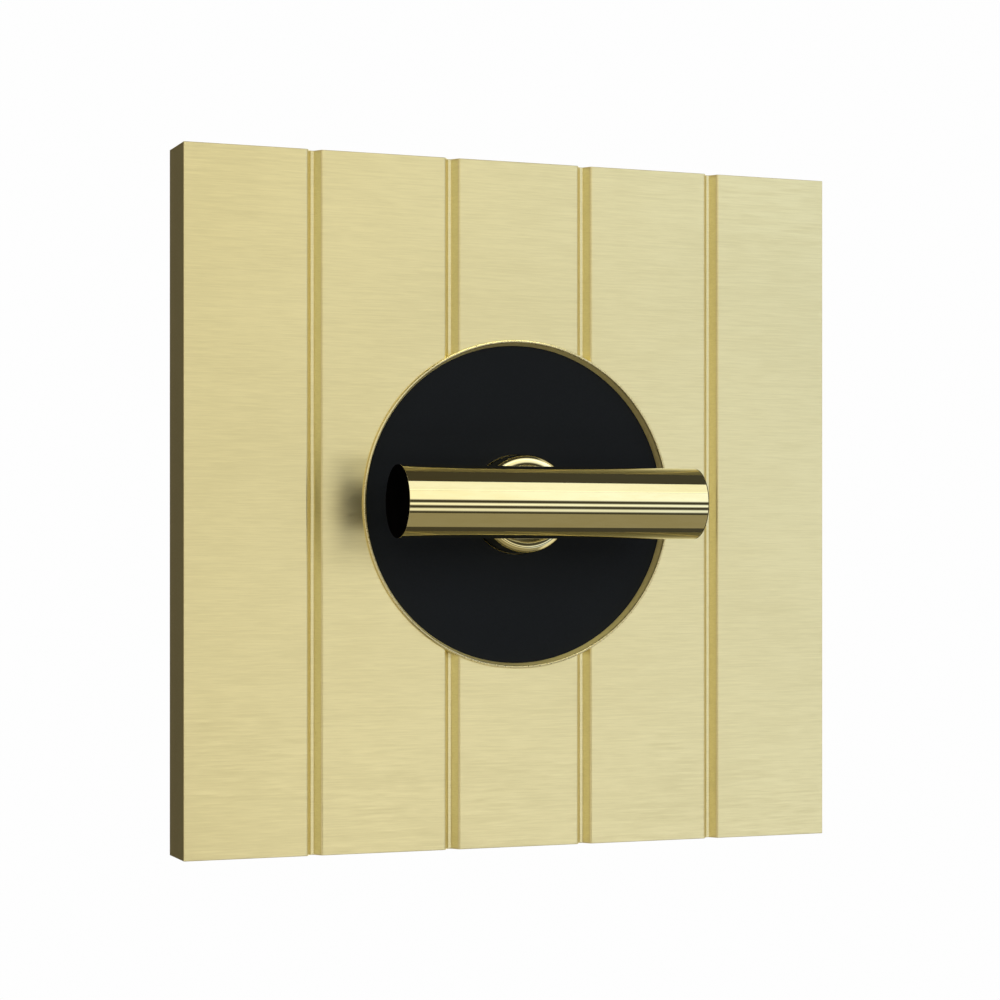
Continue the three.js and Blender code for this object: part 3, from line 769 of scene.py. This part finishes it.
def pale_floor():
    """A wide pale floor, evenly bright and well below the switch."""
    level = PLATE_LOW.z - FLOOR_DROP
    reach = FLOOR_REACH
    mesh = bmesh.new()
    corners = ((-reach, -reach), (reach, -reach), (reach, reach), (-reach, reach))
    mesh.faces.new([mesh.verts.new((x, y, level)) for x, y in corners])
    data = bpy.data.meshes.new("pale_floor")
    mesh.to_mesh(data)
    mesh.free()
    floor = bpy.data.objects.new("pale_floor", data)
    bpy.context.scene.collection.objects.link(floor)
    made = bpy.data.materials.new("pale_floor")
    made.use_nodes = True
    tree = made.node_tree
    tree.nodes.clear()
    glow = tree.nodes.new("ShaderNodeEmission")
    glow.inputs["Color"].default_value = PALE
    out = tree.nodes.new("ShaderNodeOutputMaterial")
    tree.links.new(glow.outputs[0], out.inputs["Surface"])
    data.materials.append(made)
    floor.visible_glossy = False
    floor.visible_diffuse = False
    floor.visible_shadow = False


# The studio's softboxes as the switch sees them, by the angle round the X axis in degrees: 0 is straight
# ahead of the plate, 90 overhead, 180 behind and -90 straight down. Each is (low, high, brightness): a low
# strip, a middle strip, the main softbox and one behind. The rest of the room is dim.
SOFTBOXES = (
    (-30, -22, 1.0),
    (-12, -5, 1.2),
    (5, 35, 1.2),
    (120, 160, 0.5),
)
# How many degrees a softbox's edge takes to fade, how bright the rest of the room is, and how much of its
# green and blue the dimmest light loses. Light of FULL_LIGHT or more loses none.
SOFTBOX_FADE = 4
ROOM_LIGHT = 0.06
GREEN_LOSS = 0.1
BLUE_LOSS = 0.32
FULL_LIGHT = 0.9

# The softboxes' tone turns from warm to cool as the X part of the direction goes between these.
TONE_TURNS = (0.25, 0.55)
WARM_TONE = (0.955, 0.91, 0.74, 1)
COOL_TONE = (0.93, 1.06, 1.28, 1)

# The studio's side walls: the X parts of the direction at which each begins and is complete, and its
# colour. They are the left wall, that wall's far end and the right wall.
WALLS = (
    (-0.42, -0.6, (0.73, 0.67, 0.55)),
    (-0.82, -0.93, (0.4, 0.33, 0.21)),
    (0.53, 0.68, (0.62, 0.6, 0.52)),
)


def softbox_levels():
    """The (angle, brightness) corners of the room's light, once round the X axis."""
    levels = [(-180, ROOM_LIGHT)]
    for low, high, light in SOFTBOXES:
        levels += [(low - SOFTBOX_FADE / 2, ROOM_LIGHT), (low + SOFTBOX_FADE / 2, light)]
        levels += [(high - SOFTBOX_FADE / 2, light), (high + SOFTBOX_FADE / 2, ROOM_LIGHT)]
    levels.append((180, ROOM_LIGHT))
    return levels


def studio_light():
    """The room that the switch reflects. The camera sees its pale tone alone."""
    world = bpy.data.worlds.new("studio")
    bpy.context.scene.world = world
    world.use_nodes = True
    tree = world.node_tree
    tree.nodes.clear()
    place = tree.nodes.new("ShaderNodeTexCoord")
    split = tree.nodes.new("ShaderNodeSeparateXYZ")
    tree.links.new(place.outputs["Generated"], split.inputs[0])
    x, y, z = split.outputs
    ahead = maths(tree, "MULTIPLY", y, -1.0)
    angle = maths(tree, "MULTIPLY", maths(tree, "ARCTAN2", z, ahead), 180 / math.pi)
    ramp = tree.nodes.new("ShaderNodeValToRGB")
    ramp.color_ramp.interpolation = "LINEAR"
    stops = ramp.color_ramp.elements
    levels = softbox_levels()
    peak = max(light for _, light in levels)
    while len(stops) < len(levels):
        stops.new(0.5)
    for stop, (degrees, light) in zip(stops, levels):
        stop.position = (degrees + 180) / 360
        share = light / peak
        warmth = 1 - min(1, light / FULL_LIGHT)
        stop.color = (share, share * (1 - GREEN_LOSS * warmth), share * (1 - BLUE_LOSS * warmth), 1)
    tree.links.new(maths(tree, "DIVIDE", maths(tree, "ADD", angle, 180.0), 360.0), ramp.inputs[0])
    tone = blend(tree, spread(tree, x, *TONE_TURNS), WARM_TONE, COOL_TONE)
    colour = tree.nodes.new("ShaderNodeMix")
    colour.data_type = "RGBA"
    colour.blend_type = "MULTIPLY"
    colour.inputs["Factor"].default_value = 1.0
    tree.links.new(ramp.outputs["Color"], colour.inputs[6])
    tree.links.new(tone, colour.inputs[7])
    walls = colour.outputs[2]
    for near, far, wall in WALLS:
        walls = blend(tree, spread(tree, x, near, far), walls, (*(part / peak for part in wall), 1))
    surroundings = tree.nodes.new("ShaderNodeBackground")
    tree.links.new(walls, surroundings.inputs["Color"])
    surroundings.inputs["Strength"].default_value = peak
    backdrop = tree.nodes.new("ShaderNodeBackground")
    backdrop.inputs["Color"].default_value = PALE
    ray = tree.nodes.new("ShaderNodeLightPath")
    mix = tree.nodes.new("ShaderNodeMixShader")
    tree.links.new(ray.outputs["Is Camera Ray"], mix.inputs[0])
    tree.links.new(surroundings.outputs[0], mix.inputs[1])
    tree.links.new(backdrop.outputs[0], mix.inputs[2])
    out = tree.nodes.new("ShaderNodeOutputWorld")
    tree.links.new(mix.outputs[0], out.inputs["Surface"])


def soft_lamp(name, centre, distance, low, high, width, brightness, colour, parts=(), side=0.38):
    """A soft lamp over a range of angles round the X axis through a centre, for all or some of the parts.

    It stands to the right of the centre by a share, side, of its distance."""
    middle = math.radians((low + high) / 2)
    height = 2 * distance * math.sin(math.radians(high - low) / 2)
    data = bpy.data.lights.new(name, "AREA")
    data.shape = "RECTANGLE"
    data.size = width
    data.size_y = height
    data.energy = 4 * brightness * width * height
    data.color = colour
    lamp = bpy.data.objects.new(name, data)
    bpy.context.scene.collection.objects.link(lamp)
    away = Vector((side * distance, -distance * math.cos(middle), distance * math.sin(middle)))
    lamp.location = Vector(centre) + away
    lamp.rotation_euler = (math.pi / 2 - middle, 0, 0)
    lamp.visible_camera = False
    if not parts:
        return
    lit = bpy.data.collections.new(name)
    for part in parts:
        lit.objects.link(part)
    lamp.light_linking.receiver_collection = lit


def soft_lamps(polished, brushed, turned):
    """Lamps for the bar and collar, the plate and the rim alone, and one for everything from behind."""
    bar = (0, (BAR_LOW.y + BAR_HIGH.y) / 2, 0)
    plate = (0, PLATE_LOW.y, 0)
    soft_lamp("bar_softbox", bar, 60 * MM, 33, 63, 140 * MM, 0.82, (0.96, 0.98, 0.94), polished)
    soft_lamp("bar_fill", bar, 60 * MM, -88, -34, 140 * MM, 0.19, (0.96, 0.86, 0.56), polished)
    soft_lamp("plate_softbox", plate, 1.2, -24, 2, 0.8, 0.4, (1.0, 0.98, 0.94), brushed, side=0.42)
    soft_lamp("top_edge_light", plate, 1.2, 86, 150, 0.8, 0.6, (1.0, 0.98, 0.9), brushed)
    soft_lamp("bottom_edge_light", plate, 1.2, -150, -86, 0.8, 0.5, (1.0, 0.95, 0.8), brushed)
    soft_lamp("rim_top_light", plate, 0.25, 70, 84, 0.2, 7, (1.0, 0.96, 0.6), turned, side=0.2)
    soft_lamp("rim_low_light", plate, 0.25, -84, -70, 0.2, 2, (1.0, 0.94, 0.66), turned, side=0.15)
    soft_lamp("rear_softbox", (0, 0, 0), 1.0, 145, 215, 1.4, 0.7, (1.0, 0.99, 0.97), side=0.8)


def camera():
    """A level camera on the left of the plate, a little below its middle, with a small upward shift."""
    turn, distance = CAMERA_TURN, CAMERA_DISTANCE
    data = bpy.data.cameras.new("camera")
    data.sensor_width = CAMERA_SENSOR
    data.lens = CAMERA_LENS
    data.shift_x = CAMERA_SHIFT[0]
    data.shift_y = CAMERA_SHIFT[1]
    data.clip_start = 0.01
    data.clip_end = 20
    eye = bpy.data.objects.new("camera", data)
    bpy.context.scene.collection.objects.link(eye)
    eye.location = (-distance * math.sin(turn), PLATE_LOW.y - distance * math.cos(turn), CAMERA_HEIGHT)
    eye.rotation_euler = (math.pi / 2, 0, -turn)
    bpy.context.scene.camera = eye


dress_cad_nodes()
plate = face_plate()
rim = rose_rim()
rose_face()
nut = collar()
bar = bar_tube()
bar_ends()
fixing_screw("left")
fixing_screw("right")
cover()
return_spring("upper")
return_spring("lower")
pale_floor()
studio_light()
soft_lamps([nut, bar], [plate], [rim])
camera()
bpy.context.scene.view_settings.view_transform = "Standard"
